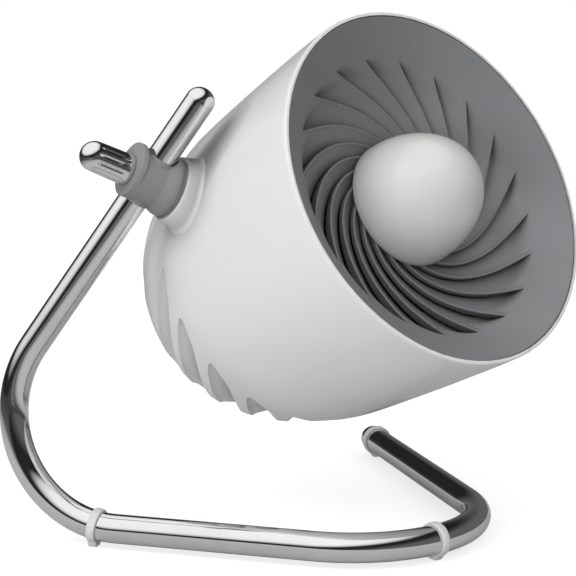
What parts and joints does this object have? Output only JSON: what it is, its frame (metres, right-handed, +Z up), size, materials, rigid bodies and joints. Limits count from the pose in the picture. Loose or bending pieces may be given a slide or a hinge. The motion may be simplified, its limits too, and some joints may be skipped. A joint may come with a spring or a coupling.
{
  "type": "desk air circulator",
  "caption": "Cup-shaped fan head with a dished swept grille, tilting on a clamp that slides on the leaning post of a bent tube stand",
  "frame": {"origin": "middle of the bounding box at table level", "axes": "+Z up, +X along the straight base run, +Y towards the tip of the short leg"},
  "size_m": [0.1846, 0.1804, 0.1765],
  "materials": {
    "chrome": "bright plated",
    "steel": "satin",
    "white_shell": "smooth gloss",
    "grey_plastic": "fine matte",
    "grille_grey": "fine satin",
    "nose_pale": "soft gloss",
    "pale_rubber": "matte",
    "black_plastic": "matte",
    "copper": "enamelled winding",
    "bronze": "sintered"
  },
  "bodies": {
    "stand": {"stand_tube": "chrome", "post_end_cap": "chrome", "leg_end_cap": "chrome", "ring_foot_post": "pale_rubber", "ring_foot_bend": "pale_rubber", "ring_foot_leg": "pale_rubber"},
    "slider": {"post_bush": "grey_plastic"},
    "clamp": {"pivot_block": "grey_plastic", "friction_washer": "grey_plastic", "pivot_axle": "steel", "spring_washer": "steel", "axle_nut": "steel"},
    "knob": {"knob_screw": "steel", "knob_grip": "chrome", "pressure_pad": "bronze"},
    "head": {"housing": "white_shell", "grille": "grille_grey", "nose_cone": "nose_pale", "motor_bracket": "steel", "bracket_screw_1": "steel", "bracket_screw_2": "steel", "bracket_screw_3": "steel", "motor_screw_1": "steel", "motor_screw_2": "steel", "motor_screw_3": "steel", "motor_can": "steel", "motor_end_bell": "steel", "stator_core": "steel", "coil_front": "copper", "coil_rear": "copper", "bearing_front": "bronze", "bearing_rear": "bronze", "switch_body": "black_plastic", "cord_gland": "black_plastic", "supply_lead": "black_plastic", "motor_lead": "black_plastic"},
    "rotor": {"rotor_core": "steel", "motor_shaft": "steel", "propeller": "grey_plastic", "prop_clip": "steel"},
    "speed_dial": {"speed_knob": "grey_plastic"}
  },
  "joints": [
    {"name": "post_slide", "type": "slide", "parent": "stand", "child": "slider", "axis": [0.5684, 0.0829, 0.8185], "range_m": [-0.005, 0.015]},
    {"name": "block_swivel", "type": "hinge", "parent": "slider", "child": "clamp", "pos_m": [-0.04133, -0.05507, 0.12244], "axis": [0.5684, 0.0829, 0.8185], "range_deg": [-40, 40]},
    {"name": "knob_turn", "type": "hinge", "parent": "clamp", "child": "knob", "pos_m": [-0.04133, -0.05507, 0.12244], "axis": [-0.642, -0.659, 0.3919], "range_deg": [0, 300]},
    {"name": "head_pivot", "type": "hinge", "parent": "clamp", "child": "head", "pos_m": [0.00547, -0.00702, 0.09387], "axis": [0.642, 0.659, -0.3919], "range_deg": [-45, 45]},
    {"name": "rotor_spin", "type": "hinge", "parent": "head", "child": "rotor", "pos_m": [0.05228, -0.03616, 0.12156], "axis": [0.7587, -0.4723, 0.4487], "continuous": true},
    {"name": "dial_turn", "type": "hinge", "parent": "head", "child": "speed_dial", "pos_m": [0.05228, -0.03616, 0.12156], "axis": [-0.7587, 0.4723, -0.4487], "range_deg": [0, 90]}
  ]
}
